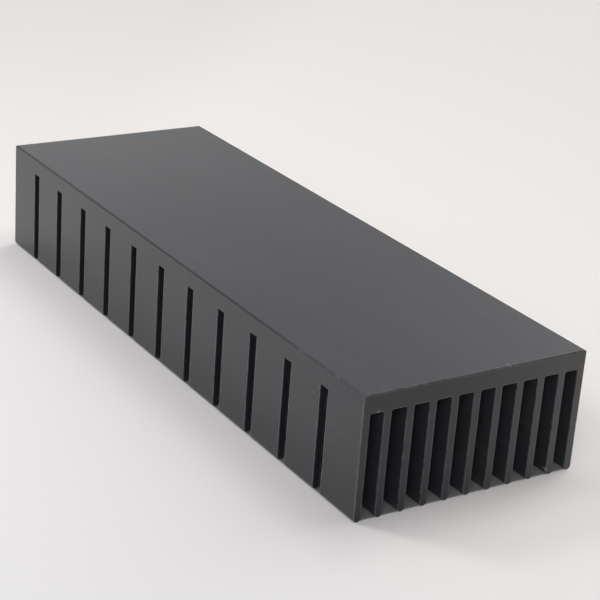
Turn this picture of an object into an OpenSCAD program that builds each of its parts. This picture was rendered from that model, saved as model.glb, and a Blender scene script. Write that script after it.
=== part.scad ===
// Extruded heat sink: a flat base plate with a comb of thin parallel fins under it.
// Saw cuts across all the fins turn each one into a row of upright teeth.
// It lies on its fin tips with the flat mounting face up. X runs across the fins, Y along
// the extrusion and Z up. The origin is on the resting plane, under the middle of the part.

/* [Extruded bar] */
// Length that the bar is sawn to
length = 120; // [40:1:300]
// Width over the two outer walls
width = 40; // [24:0.5:80]
// Height from the fin tips to the mounting face
height = 20; // [10:0.5:50]
// Thickness of the base plate
base_t = 3; // [2:0.1:6]
// Radius along the two long edges of the mounting face
edge_r = 0.3; // [0.1:0.05:0.8]

/* [Fins] */
// Thickness of the outer wall at each side
wall_t = 1.2; // [0.8:0.05:2]
// Thickness of each fin between the walls
fin_t = 1.2; // [0.8:0.05:1.8]
// Spacing from one fin to the next
fin_pitch = 3.94; // [3.2:0.02:8]
// Least gap between an outer wall and the fin beside it
side_gap_min = 2.1; // [1.5:0.1:3]
// Fillet where a fin runs into the base plate
root_r = 0.3; // [0.1:0.05:0.6]

/* [Saw cuts across the fins] */
// Width of each cut
cut_w = 2; // [1:0.1:4]
// Spacing from one cut to the next
cut_pitch = 10; // [6:0.5:30]
// Least length of the tooth left at each end
end_tooth_min = 8; // [3:0.5:15]
// How far each cut bites into the base plate past the fin roots
overcut = 0.1; // [0.05:0.05:0.5]

/* [Sawn ends] */
// Chamfer left by deburring the ends of the mounting face
deburr = 0.2; // [0.1:0.05:0.5]

/* [Hidden] */
// Sides of the rounded corners and fin tips, and of the small fillets
$fn = 24;
fillet_fn = 16;
// How far cutters run out past the faces they pass through
spill = 1;
anodised_black = [0.24, 0.24, 0.25];

// Underside of the base plate, where the fins begin
root_z = height - base_t;
// Room between the walls for the centres of the first and the last fin
fin_span = width - 2 * wall_t - 2 * side_gap_min - fin_t;
fin_count = floor(fin_span / fin_pitch) + 1;
fin_xs = [for (i = [0 : fin_count - 1]) (i - (fin_count - 1) / 2) * fin_pitch];
// Room between the end teeth for the centres of the first and the last cut
cut_span = length - 2 * end_tooth_min - cut_w;
cut_count = floor(cut_span / cut_pitch) + 1;
cut_ys = [for (i = [0 : cut_count - 1]) (i - (cut_count - 1) / 2) * cut_pitch];

// Section of the base plate, with its two upper corners rounded.
module plate_section() {
    translate([-width / 2, root_z])
        square([width, base_t - edge_r]);
    translate([-width / 2 + edge_r, root_z])
        square([width - 2 * edge_r, base_t]);
    for (side = [-1, 1])
        translate([side * (width / 2 - edge_r), height - edge_r])
            circle(r = edge_r, $fn = fillet_fn);
}

// Section of one fin: a blade with a full round tip, centred on x = 0 and let into the plate.
module blade_section(t) {
    translate([0, t / 2])
        circle(d = t);
    translate([-t / 2, t / 2])
        square([t, root_z + base_t / 2 - t / 2]);
}

// Section of the fillet at the root of a fin, on one side of it (side is -1 or 1).
module root_fillet_section(t, side) {
    difference() {
        translate([side * (t + root_r) / 2, root_z])
            square([root_r, 2 * root_r], center = true);
        translate([side * (t / 2 + root_r), root_z - root_r])
            circle(r = root_r, $fn = fillet_fn);
    }
}

// Section of the whole bar, as it leaves the die.
module bar_section() {
    plate_section();
    for (side = [-1, 1])
        translate([side * (width - wall_t) / 2, 0]) {
            blade_section(wall_t);
            root_fillet_section(wall_t, -side);
        }
    for (x = fin_xs)
        translate([x, 0]) {
            blade_section(fin_t);
            root_fillet_section(fin_t, -1);
            root_fillet_section(fin_t, 1);
        }
}

// The bar sawn to length.
module bar() {
    rotate([90, 0, 0])
        linear_extrude(height = length, center = true)
            bar_section();
}

// One saw blade's path, straight across every fin and just into the base plate.
module saw_cut() {
    translate([-width / 2 - spill, -cut_w / 2, -spill])
        cube([width + 2 * spill, cut_w, root_z + overcut + spill]);
}

// The sliver that deburring takes off the mounting face's edge at one end (side is -1 or 1).
module deburr_cut(side) {
    translate([0, side * length / 2, height])
        rotate([45, 0, 0])
            cube([width + 2 * spill, deburr * sqrt(2), deburr * sqrt(2)], center = true);
}

module heat_sink() {
    color(anodised_black)
        difference() {
            bar();
            for (y = cut_ys)
                translate([0, y, 0])
                    saw_cut();
            for (side = [-1, 1])
                deburr_cut(side);
        }
}

heat_sink();
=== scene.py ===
# %% [markdown]
# # An extruded heat sink in black anodised aluminium
#
# The part is one bar of aluminium. It is pushed through a die, sawn to length, sawn again
# across its fins, deburred, and then dyed black in an anodising bath. Its shape is finished
# before this script starts, so the work here is the finish: the long faces that the die
# leaves, the faces that the saw leaves, the thin grey edges between them, and the plain
# light that shows them.
#
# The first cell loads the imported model. Everything is in metres, with Z up. The long side
# of the part lies along Y, and its fins point down, with their tips on the table.

# %% Load the part
import math

import bpy
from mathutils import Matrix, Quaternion, Vector


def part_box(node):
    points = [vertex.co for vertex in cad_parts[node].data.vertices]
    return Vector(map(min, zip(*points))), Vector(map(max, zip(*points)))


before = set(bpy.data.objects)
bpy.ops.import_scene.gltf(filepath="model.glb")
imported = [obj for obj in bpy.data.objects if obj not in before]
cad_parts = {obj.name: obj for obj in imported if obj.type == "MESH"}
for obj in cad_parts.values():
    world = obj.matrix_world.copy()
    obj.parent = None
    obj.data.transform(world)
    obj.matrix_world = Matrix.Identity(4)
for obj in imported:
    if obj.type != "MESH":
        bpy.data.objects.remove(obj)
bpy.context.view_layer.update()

MM_PER_METRE = 1000.0

heat_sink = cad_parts["heat_sink"]
low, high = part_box("heat_sink")
print("nodes:", sorted(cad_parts))
print("size in mm:", [round(MM_PER_METRE * side, 1) for side in high - low])

# %% [markdown]
# ## Where the camera stands
#
# A small part looks natural from close by through a long lens: the near end looms a little,
# and no side bulges. The camera could be given three rotation angles. A place, a point to aim
# at and a small roll are easier to read and to nudge, so `to_track_quat` turns the line of
# sight into a rotation, and one turn about that line adds the roll.

# %% Camera
CAMERA_PLACE = Vector((-0.1480, -0.2354, 0.1224))
CAMERA_AIM = Vector((0.0035, -0.0065, 0.0100))
CAMERA_ROLL = math.radians(4.34)
LENS_MM = 104.4
SENSOR_MM = 36.0
NEAREST_SEEN_M = 0.005
LINE_OF_SIGHT_AXIS = (0, 0, 1)


def add_camera():
    data = bpy.data.cameras.new("camera")
    data.lens = LENS_MM
    data.sensor_width = SENSOR_MM
    data.clip_start = NEAREST_SEEN_M
    camera = bpy.data.objects.new("camera", data)
    sight = CAMERA_AIM - CAMERA_PLACE
    level = sight.to_track_quat("-Z", "Y")
    camera.rotation_mode = "QUATERNION"
    camera.rotation_quaternion = level @ Quaternion(LINE_OF_SIGHT_AXIS, CAMERA_ROLL)
    camera.location = CAMERA_PLACE
    bpy.context.scene.collection.objects.link(camera)
    bpy.context.scene.camera = camera
    return sight.length


print("camera to aim point, mm:", round(MM_PER_METRE * add_camera(), 1))

# %% [markdown]
# ## Short names for node building
#
# A procedural material is a chain of small nodes, and each takes four or five lines to make
# by hand. These helpers make one node each. `plug` is the one that matters: give it the
# output of another node and it draws a wire, give it a number or a colour and it sets the
# socket's own value. So each helper takes either, and the recipes further on read almost
# like sums.
#
# `ramp` is a mask with a soft rim: 0 up to `start`, 1 from `end` on, and a smooth rise
# between them. The Mix node hides its colour sockets among others with the same names, so
# `mix_colours` picks them by number.

# %% Node helpers
MIX_SHARE = 0
MIX_UNDER = 6
MIX_OVER = 7
MIX_RESULT = 2


def plug(socket, source):
    if isinstance(source, bpy.types.NodeSocket):
        socket.id_data.links.new(source, socket)
    else:
        socket.default_value = source


def calculate(tree, operation, *sources):
    node = tree.nodes.new("ShaderNodeMath")
    node.operation = operation
    for socket, source in zip(node.inputs, sources):
        plug(socket, source)
    return node.outputs["Value"]


def calculate_vector(tree, operation, *sources, output="Vector"):
    node = tree.nodes.new("ShaderNodeVectorMath")
    node.operation = operation
    for socket, source in zip(node.inputs, sources):
        plug(socket, source)
    return node.outputs[output]


def split(tree, vector):
    node = tree.nodes.new("ShaderNodeSeparateXYZ")
    plug(node.inputs["Vector"], vector)
    return node.outputs["X"], node.outputs["Y"], node.outputs["Z"]


def ramp(tree, source, start, end):
    node = tree.nodes.new("ShaderNodeMapRange")
    node.interpolation_type = "SMOOTHSTEP"
    plug(node.inputs["Value"], source)
    node.inputs["From Min"].default_value = start
    node.inputs["From Max"].default_value = end
    return node.outputs["Result"]


def mix_colours(tree, share, under, over):
    node = tree.nodes.new("ShaderNodeMix")
    node.data_type = "RGBA"
    plug(node.inputs[MIX_SHARE], share)
    plug(node.inputs[MIX_UNDER], under)
    plug(node.inputs[MIX_OVER], over)
    return node.outputs[MIX_RESULT]


HELPERS = (plug, calculate, calculate_vector, split, ramp, mix_colours)
print("helpers:", [helper.__name__ for helper in HELPERS])

# %% [markdown]
# ## The table
#
# The real table is a sheet of pale paper. A curved backdrop could rise behind it, but the
# camera looks down and never sees an edge, so one huge flat face is enough. Paper is matt,
# so its paint gets no mirror-like shine.

# %% Table
TABLE_HALF_M = 4.0
TABLE_CORNERS = ((-1, -1), (1, -1), (1, 1), (-1, 1))
PAPER_ROUGHNESS = 0.9
PAPER_SHINE = 0.0

paper_paint = bpy.data.materials.new("pale_paper")
paper_paint.use_nodes = True
table_tree = paper_paint.node_tree
paper_shader = table_tree.nodes["Principled BSDF"]
paper_shader.inputs["Roughness"].default_value = PAPER_ROUGHNESS
paper_shader.inputs["Specular IOR Level"].default_value = PAPER_SHINE


def add_table():
    mesh = bpy.data.meshes.new("table")
    points = [(TABLE_HALF_M * x, TABLE_HALF_M * y, 0.0) for x, y in TABLE_CORNERS]
    mesh.from_pydata(points, [], [(0, 1, 2, 3)])
    mesh.materials.append(paper_paint)
    table = bpy.data.objects.new("table", mesh)
    bpy.context.scene.collection.objects.link(table)
    return table


print("table, metres wide:", round(add_table().dimensions.x, 1))

# %% [markdown]
# ## The paper's tone
#
# Paper between two windows looks neutral on one side and warm on the other. Two tinted lamps
# would do that too, but they would tint the part as well. So that window light is painted
# into the paper: a slow ramp along X blends two pale tones, and the warm one is a little
# brighter. The dark part mirrors the table, so a plain white would also make the part look
# lighter than it is.

# %% Paper tone
PAPER_NEUTRAL = (0.800, 0.784, 0.791, 1)
PAPER_WARM = (0.858, 0.826, 0.801, 1)
PAPER_TURN_M = 0.09

on_table = table_tree.nodes.new("ShaderNodeTexCoord").outputs["Object"]
table_x, table_y, _ = split(table_tree, on_table)
# Painted light: the paper is warmer and a little brighter towards +X.
warm_side = ramp(table_tree, table_x, -PAPER_TURN_M, PAPER_TURN_M)
paper = mix_colours(table_tree, warm_side, PAPER_NEUTRAL, PAPER_WARM)
print("paper, from neutral to warm:", PAPER_NEUTRAL[:3], PAPER_WARM[:3])

# %% [markdown]
# ## Shade where the part rests
#
# Where a part rests, real paper lies in a deep contact shadow. The soft glows that light this
# scene come from all round, so they fill that shadow with too much light. One hard lamp would
# deepen it, but it would spoil the soft look of everything else. Darker paint makes up the
# difference instead, in three layers.
#
# A dark patch lies just under the part, half a millimetre soft at its rim. Round it a faint
# shade fades out over a centimetre, shifted a little to the left, away from the light. And
# the paper far behind on the left is toned down slightly, because the small lamp, two steps
# further on, hangs nearest to it. The part stands on a plain rectangle, so measuring is easy:
# ABSOLUTE takes the signs off X and Y, each loses half of the part's side, and the larger of
# the two is the distance.

# %% Contact shade
UNDER_PART = (0.20, 0.20, 0.21, 1)
UNDER_RIM_M = 0.0005
CONTACT_SHADE = 0.90
CONTACT_REACH_M = 0.012
CONTACT_LEFT_M = 0.003
LAMP_SHADE = 0.95
CLEAR_OF_LAMP_M = (-0.115, -0.055)


def shade_factor(clear, shade):
    return calculate(table_tree, "MULTIPLY_ADD", clear, 1.0 - shade, shade)


shifted = calculate_vector(table_tree, "ADD", on_table, (CONTACT_LEFT_M, 0.0, 0.0))
away_x, away_y, _ = split(table_tree, calculate_vector(table_tree, "ABSOLUTE", shifted))
beside = calculate(table_tree, "SUBTRACT", away_x, high.x - CONTACT_LEFT_M)
beyond = calculate(table_tree, "SUBTRACT", away_y, high.y)
distance = calculate(table_tree, "MAXIMUM", beside, beyond)
contact = shade_factor(ramp(table_tree, distance, 0.0, CONTACT_REACH_M), CONTACT_SHADE)

from_far_left = calculate(table_tree, "SUBTRACT", table_x, table_y)
pool = shade_factor(ramp(table_tree, from_far_left, *CLEAR_OF_LAMP_M), LAMP_SHADE)
shade = calculate(table_tree, "MULTIPLY", pool, contact)
shaded = calculate_vector(table_tree, "MULTIPLY", paper, shade)

away_x, away_y, _ = split(table_tree, calculate_vector(table_tree, "ABSOLUTE", on_table))
outside_x = ramp(table_tree, away_x, high.x - UNDER_RIM_M, high.x)
outside_y = ramp(table_tree, away_y, high.y - UNDER_RIM_M, high.y)
outside = calculate(table_tree, "MAXIMUM", outside_x, outside_y)
plug(paper_shader.inputs["Base Color"], mix_colours(table_tree, outside, UNDER_PART, shaded))
print("contact shade reaches, mm:", round(MM_PER_METRE * CONTACT_REACH_M, 1))

# %% [markdown]
# ## The room
#
# Black anodising is a clear, hard skin with dye in it. Most of the brightness seen on it is a
# blurred reflection, so the room matters more than any lamp. Area lamps could stand round the
# part. Here the world itself carries the soft panels: for each one, the dot product of the
# viewing direction and the panel's direction, raised to a power, gives a round glow with no
# edge, and a high power makes a small glow. The glows and a little even light add up to a
# table that gets a light of about 1, at which a colour renders as it is written.
#
# A heading of 0 degrees is along +Y, away from the camera, and 90 is along +X. The long left
# edge mirrors the room between headings 310 and 350. Only one small glow stands there, low in
# the far corner, so the edge stays a thin dark line that fades towards its far end.

# %% World
ROOM_PANELS = (
    # name, heading, rise, power, strength
    ("back wall", 30, 20, 12, 0.51),
    ("back wall's foot", 20, 3, 60, 1.41),
    ("right lamp", 70, 14, 22, 4.90),
    ("right window", 83, 62, 15, 2.70),
    ("left window", 300, 62, 10, 0.87),
    ("left lamp", 300, 15, 16, 0.20),
    ("far corner", 342, 16, 60, 2.00),
    ("front fill", 218, 31, 24, 7.40),
)
ROOM_GLOW = 0.04
WHITE = (1, 1, 1, 1)


def panel_direction(heading, rise):
    flat = math.cos(math.radians(rise))
    return (
        math.sin(math.radians(heading)) * flat,
        math.cos(math.radians(heading)) * flat,
        math.sin(math.radians(rise)),
    )


def add_world():
    world = bpy.data.worlds.new("room")
    world.use_nodes = True
    room_tree = world.node_tree
    sight = room_tree.nodes.new("ShaderNodeTexCoord").outputs["Generated"]
    light = ROOM_GLOW
    for _, heading, rise, power, strength in ROOM_PANELS:
        panel = panel_direction(heading, rise)
        facing = calculate_vector(room_tree, "DOT_PRODUCT", sight, panel, output="Value")
        in_front = calculate(room_tree, "MAXIMUM", facing, 0.0)
        glow = calculate(room_tree, "POWER", in_front, power)
        light = calculate(room_tree, "MULTIPLY_ADD", glow, strength, light)
    background = room_tree.nodes["Background"]
    background.inputs["Color"].default_value = WHITE
    plug(background.inputs["Strength"], light)
    bpy.context.scene.world = world


add_world()
bpy.context.scene.view_settings.view_transform = "Standard"
print("soft panels:", [panel[0] for panel in ROOM_PANELS])

# %% [markdown]
# ## One small lamp
#
# A light far away falls alike on both ends of a bar. The left side is brighter at its far
# end, and only a light close by can do that. So one small area lamp hangs near that end, high
# up on the left. Lower down it would draw a bright line along the left edge.

# %% Near lamp
LAMP_PLACE = Vector((-0.15, 0.12, 0.20))
LAMP_AIM = Vector((0.0, -0.04, 0.01))
LAMP_SIDE_M = 0.06
LAMP_WATTS = 0.186


def add_lamp():
    data = bpy.data.lights.new("near_lamp", "AREA")
    data.size = LAMP_SIDE_M
    data.energy = LAMP_WATTS
    lamp = bpy.data.objects.new("near_lamp", data)
    lamp.location = LAMP_PLACE
    lamp.rotation_mode = "QUATERNION"
    lamp.rotation_quaternion = (LAMP_AIM - LAMP_PLACE).to_track_quat("-Z", "Y")
    bpy.context.scene.collection.objects.link(lamp)


add_lamp()
print("near lamp, mm from the part's middle:", round(MM_PER_METRE * LAMP_PLACE.length))

# %% [markdown]
# ## A place on the part, in millimetres
#
# Every pattern below has a real size, such as lines a third of a millimetre apart. The
# Object output of Texture Coordinate gives the place on the part in metres, with the same
# origin and axes as the CAD model, and one multiplication turns it into millimetres. The
# pattern then stays put when the part moves, and it needs no UV map.
#
# `noise_pattern` gives an uneven pattern of a stated size. Half is taken off, so it swings
# about zero and can be added to a tone, a gloss or a height without shifting its middle.

# %% Start the finish
NOISE_MIDDLE = 0.5

finish = bpy.data.materials.new("black_anodised_aluminium")
finish.use_nodes = True
tree = finish.node_tree
shader = tree.nodes["Principled BSDF"]
surface = tree.nodes.new("ShaderNodeTexCoord")
place_mm = calculate_vector(tree, "MULTIPLY", surface.outputs["Object"], (MM_PER_METRE,) * 3)


def noise_pattern(place, size_mm, detail, dimensions="3D"):
    node = tree.nodes.new("ShaderNodeTexNoise")
    node.noise_dimensions = dimensions
    node.inputs["Scale"].default_value = 1.0 / size_mm
    node.inputs["Detail"].default_value = detail
    plug(node.inputs["W" if dimensions == "1D" else "Vector"], place)
    return calculate(tree, "SUBTRACT", node.outputs["Fac"], NOISE_MIDDLE)


print("finish started:", finish.name)

# %% [markdown]
# ## Which faces did the saw make?
#
# The die makes every face that runs along Y. The saw makes every face that looks along Y:
# the two ends of the bar, and both walls of each cut across the fins. Two materials could be
# assigned face by face, but the CAD faces come without names. The surface's own direction
# already tells them apart: the size of its Y part is 1 on a sawn face and 0 on a drawn one.

# %% Sawn and drawn faces
SAWN_FROM = 0.75
SAWN_FULLY = 0.95


def size_along_y(direction):
    _, along_y, _ = split(tree, direction)
    return calculate(tree, "ABSOLUTE", along_y)


sawn = ramp(tree, size_along_y(surface.outputs["Normal"]), SAWN_FROM, SAWN_FULLY)
drawn = calculate(tree, "SUBTRACT", 1.0, sawn)
print("masks ready: sawn faces, drawn faces")

# %% [markdown]
# ## Die lines
#
# Tiny flaws in the lip of the die scratch the metal as it slides past, so drawn faces carry
# faint straight lines along the whole bar. They lie across X on the flat top and across Z on
# the sides. A stripe texture would have to be turned for each side. Noise that is squeezed
# hard along Y does both at once: the pattern changes quickly across the bar and hardly at all
# along it. Fine lines and broad bands come from two such noises.

# %% Die lines
LINE_STRETCH = (1.0, 0.012, 1.0)
FINE_LINE_MM = 0.34
FINE_LINE_DETAIL = 3.0
BROAD_LINE_MM = 2.4
BROAD_LINE_DETAIL = 1.0

along_bar = calculate_vector(tree, "MULTIPLY", place_mm, LINE_STRETCH)
fine_noise = noise_pattern(along_bar, FINE_LINE_MM, FINE_LINE_DETAIL)
fine_lines = calculate(tree, "MULTIPLY", fine_noise, drawn)
broad_noise = noise_pattern(along_bar, BROAD_LINE_MM, BROAD_LINE_DETAIL)
broad_lines = calculate(tree, "MULTIPLY", broad_noise, drawn)
print("die lines, mm apart:", FINE_LINE_MM, "and", BROAD_LINE_MM)

# %% [markdown]
# ## Saw marks
#
# Each tooth of a round blade leaves an arc on the face it cuts. A Wave texture could draw
# rings, but all of them alike. Here the distance from the blade's centre gives the rings, and
# one-dimensional noise along that distance makes them uneven, as worn teeth do. The blade is
# far bigger than the part, so only short, nearly straight arcs show. Adding a multiple of Y
# shifts the rings from cut to cut, so no two are twins.

# %% Saw marks
ACROSS_BLADE = (1.0, 0.0, 1.0)
BLADE_CENTRE_MM = (-70.0, 0.0, -85.0)
CUT_TO_CUT_SHIFT = (0.0, 7.3, 0.0)
SAW_LINE_MM = 0.28
SAW_LINE_DETAIL = 3.0

flat_place = calculate_vector(tree, "MULTIPLY", place_mm, ACROSS_BLADE)
blade_radius = calculate_vector(tree, "DISTANCE", flat_place, BLADE_CENTRE_MM, output="Value")
shift = calculate_vector(tree, "DOT_PRODUCT", place_mm, CUT_TO_CUT_SHIFT, output="Value")
ring = calculate(tree, "ADD", blade_radius, shift)
ring_noise = noise_pattern(ring, SAW_LINE_MM, SAW_LINE_DETAIL, "1D")
saw_lines = calculate(tree, "MULTIPLY", ring_noise, sawn)
print("saw arcs, mm from the blade's centre:", round(math.hypot(*BLADE_CENTRE_MM), 1))

# %% [markdown]
# ## What the baths leave
#
# Before it is dyed, the bar is etched in caustic soda, which turns the bright metal into a
# fine, even grain. Then the dye goes in a little deeper here than there, so the black drifts
# by a few per cent in patches as big as a thumb. Painted maps could hold both, but noise has
# no seams and any size: a very small one for the grain, and a very large one, a little longer
# along the bar, for the dye.

# %% Etched grain and dye drift
GRAIN_MM = 0.11
GRAIN_DETAIL = 1.0
DYE_PATCH_MM = 15.0
DYE_PATCH_DETAIL = 2.0
DYE_STRETCH = (1.0, 0.5, 1.0)

grain = noise_pattern(place_mm, GRAIN_MM, GRAIN_DETAIL)
dye_place = calculate_vector(tree, "MULTIPLY", place_mm, DYE_STRETCH)
dye_drift = noise_pattern(dye_place, DYE_PATCH_MM, DYE_PATCH_DETAIL)
print("grain and dye patches, mm:", GRAIN_MM, DYE_PATCH_MM)

# %% [markdown]
# ## Edges where the saw came out
#
# A sawn edge is broken with a file or a brush before the bath. Its metal is rougher and takes
# less dye, so it shows as a thin grey line round each cut and each fin's end. The long edges
# come rounded from the die and stay black.
#
# The lines could be strips of mesh, but there are hundreds of edges. The Bevel node finds
# them all: it gives the direction that the surface would have if its edges were rounded.
# Where that differs from the flat face's own direction in its Y part, a sawn face is near. So
# one subtraction finds the sawn edges and leaves the long ones alone. A noise then breaks the
# line up, because a file never takes off the same amount twice.

# %% Broken edges
EDGE_REACH_M = 0.00042
EDGE_SAMPLES = 8
EDGE_TURN = (0.02, 0.15)
EDGE_PATCH_MM = 1.3
EDGE_PATCH_DETAIL = 3.0
EDGE_PATCH_RANGE = (-0.28, 0.12)

rounding = tree.nodes.new("ShaderNodeBevel")
rounding.samples = EDGE_SAMPLES
rounding.inputs["Radius"].default_value = EDGE_REACH_M
face_direction = tree.nodes.new("ShaderNodeNewGeometry").outputs["True Normal"]
turn = calculate_vector(tree, "SUBTRACT", rounding.outputs["Normal"], face_direction)
sawn_edge = ramp(tree, size_along_y(turn), *EDGE_TURN)
edge_noise = noise_pattern(place_mm, EDGE_PATCH_MM, EDGE_PATCH_DETAIL)
edge_strength = ramp(tree, edge_noise, *EDGE_PATCH_RANGE)
broken_edge = calculate(tree, "MULTIPLY", sawn_edge, edge_strength)
print("edge line, mm wide:", round(MM_PER_METRE * EDGE_REACH_M, 2))

# %% [markdown]
# ## Nicks
#
# Five small knocks have gone through the black skin: two on the long edge, one on the end's
# top edge, one over the first channel and one at a fin's foot. Modelling them would take a lot
# of geometry for marks a third of a millimetre wide. Each is a soft ball in space instead: the
# distance from a point on the edge, turned into a mask. Y is squeezed first, which makes the
# ball longer along the bar. Noise bends the distance, so that no mark is a perfect dot, and
# the last number says how much bare metal the knock has left.

# %% Nicks
NICKS_MM = (
    # x, y, z, reach, share of bare metal
    (-20.0, -43.2, 20.0, 0.34, 0.40),
    (-20.0, -52.9, 20.0, 0.34, 0.42),
    (-17.45, -60.0, 17.1, 0.28, 0.75),
    (5.6, -59.8, 20.0, 0.34, 0.60),
    (15.2, -60.0, 0.9, 0.40, 1.00),
)
NICK_STRETCH = (1.0, 0.4, 1.0)
NICK_CORE = 0.4
NICK_NOISE_MM = 0.3
NICK_NOISE_DETAIL = 2.0

nick_place = calculate_vector(tree, "MULTIPLY", place_mm, NICK_STRETCH)


def nick_mask(x, y, z, reach, bare):
    centre = (x, y * NICK_STRETCH[1], z)
    away = calculate_vector(tree, "DISTANCE", nick_place, centre, output="Value")
    bend = noise_pattern(place_mm, NICK_NOISE_MM, NICK_NOISE_DETAIL)
    uneven = calculate(tree, "MULTIPLY_ADD", bend, reach, away)
    outside_nick = ramp(tree, uneven, NICK_CORE * reach, reach)
    return calculate(tree, "MULTIPLY_ADD", outside_nick, -bare, bare)


nicks = nick_mask(*NICKS_MM[0])
for nick in NICKS_MM[1:]:
    nicks = calculate(tree, "MAXIMUM", nicks, nick_mask(*nick))
print("nicks:", len(NICKS_MM))

# %% [markdown]
# ## The colour
#
# One black all over would look like plastic. So the tones go on in layers, each over the
# last: the deep black of the drawn faces with its slow drift to a thinner black, the sawn
# faces with their painted light and shade, the grey broken edges, and the nicks. All are a
# touch blue, as black dye on aluminium is. Even the deep black isn't zero, because some light
# always comes back out of the dyed skin.
#
# The open grain of a sawn face drinks the most dye, so it is darkest. Over the sawn faces a
# slow ramp along X blends that black into a paler tone: painted light and shade, darker on the
# left end and lighter on the right, as the light falls on the bar.

# %% Colour
DEEP_BLACK = (0.0222, 0.0238, 0.0278, 1)
THIN_BLACK = (0.0290, 0.0308, 0.0352, 1)
BLACK_DRIFT = (-0.3, 0.3)
BROAD_LINES_IN_DYE = 0.25
# Sawn tones: painted shade on the left end, painted light on the right end.
SAWN_BLACK_AND_PAINTED_SHADE = (0.0132, 0.0144, 0.0176, 1)
SAWN_PAINTED_LIT = (0.0400, 0.0412, 0.0436, 1)
SAWN_PAINTED_LIGHT_MM = (-10.0, 24.0)
EDGE_GREY = (0.080, 0.083, 0.089, 1)
NICK_GREY = (0.160, 0.163, 0.168, 1)

dye = calculate(tree, "MULTIPLY_ADD", broad_lines, BROAD_LINES_IN_DYE, dye_drift)
colour = mix_colours(tree, ramp(tree, dye, *BLACK_DRIFT), DEEP_BLACK, THIN_BLACK)
# Painted light and shade: the sawn faces go darker to the left and paler to the right.
across_bar, _, _ = split(tree, place_mm)
sawn_tone_painted_light = mix_colours(tree, ramp(tree, across_bar, *SAWN_PAINTED_LIGHT_MM), SAWN_BLACK_AND_PAINTED_SHADE, SAWN_PAINTED_LIT)
colour = mix_colours(tree, sawn, colour, sawn_tone_painted_light)
colour = mix_colours(tree, broken_edge, colour, EDGE_GREY)
colour = mix_colours(tree, nicks, colour, NICK_GREY)
plug(shader.inputs["Base Color"], colour)

TONES = (SAWN_BLACK_AND_PAINTED_SHADE, DEEP_BLACK, THIN_BLACK, SAWN_PAINTED_LIT, EDGE_GREY, NICK_GREY)
print("tones, from darkest to palest:", [tone[1] for tone in TONES])

# %% [markdown]
# ## The gloss
#
# The etch sets the gloss: satin, so a reflection is blurred but still there. Each mark from
# before shifts it by a little. One worked-out roughness map would hide which mark does what.
# A list of small shifts, added up in a loop, keeps the effect of each easy to see and to
# change. The skin's refractive index is the same all over, so it is set on the shader itself.

# %% Gloss
SATIN = 0.26
SKIN_IOR = 1.5
SAWN_DULLING = 0.05
GLOSS_SHIFTS = (
    (fine_lines, 0.015),
    (broad_lines, 0.03),
    (dye_drift, 0.06),
    (grain, 0.05),
    (sawn, SAWN_DULLING),
    (saw_lines, 0.10),
    (broken_edge, 0.06),
)

roughness = SATIN
for pattern, shift in GLOSS_SHIFTS:
    roughness = calculate(tree, "MULTIPLY_ADD", pattern, shift, roughness)
plug(shader.inputs["Roughness"], roughness)
shader.inputs["IOR"].default_value = SKIN_IOR
print("roughness on drawn and on sawn faces:", SATIN, SATIN + SAWN_DULLING)

# %% [markdown]
# ## The relief
#
# All of these marks have depth too, a few thousandths of a millimetre, which is too little
# for real geometry. The heights are added in micrometres, and the Bump node takes its
# distance in metres, so one millionth makes every number in the list a true micrometre. The
# nicks are the only ones that go down a good way.

# %% Relief
MICROMETRE = 0.000001
RELIEF_MICROMETRES = (
    (fine_lines, 0.7),
    (broad_lines, 2.0),
    (grain, 0.8),
    (saw_lines, 5.0),
    (nicks, -25.0),
)

relief = 0.0
for pattern, height in RELIEF_MICROMETRES:
    relief = calculate(tree, "MULTIPLY_ADD", pattern, height, relief)

bump = tree.nodes.new("ShaderNodeBump")
bump.inputs["Strength"].default_value = 1.0
bump.inputs["Distance"].default_value = MICROMETRE
plug(bump.inputs["Height"], relief)
plug(shader.inputs["Normal"], bump.outputs["Normal"])
print("nodes in the finish:", len(tree.nodes))

# %% [markdown]
# ## Put the finish on
#
# The CAD node keeps its own mesh. A copy could be dressed in its place, but then two shapes
# would have to agree. Only the material slots change here, so the part's size and its
# collision shape stay exactly what the checks have seen.

# %% Assign
for slot in heat_sink.material_slots:
    slot.material = finish
print("slots dressed:", len(heat_sink.material_slots))
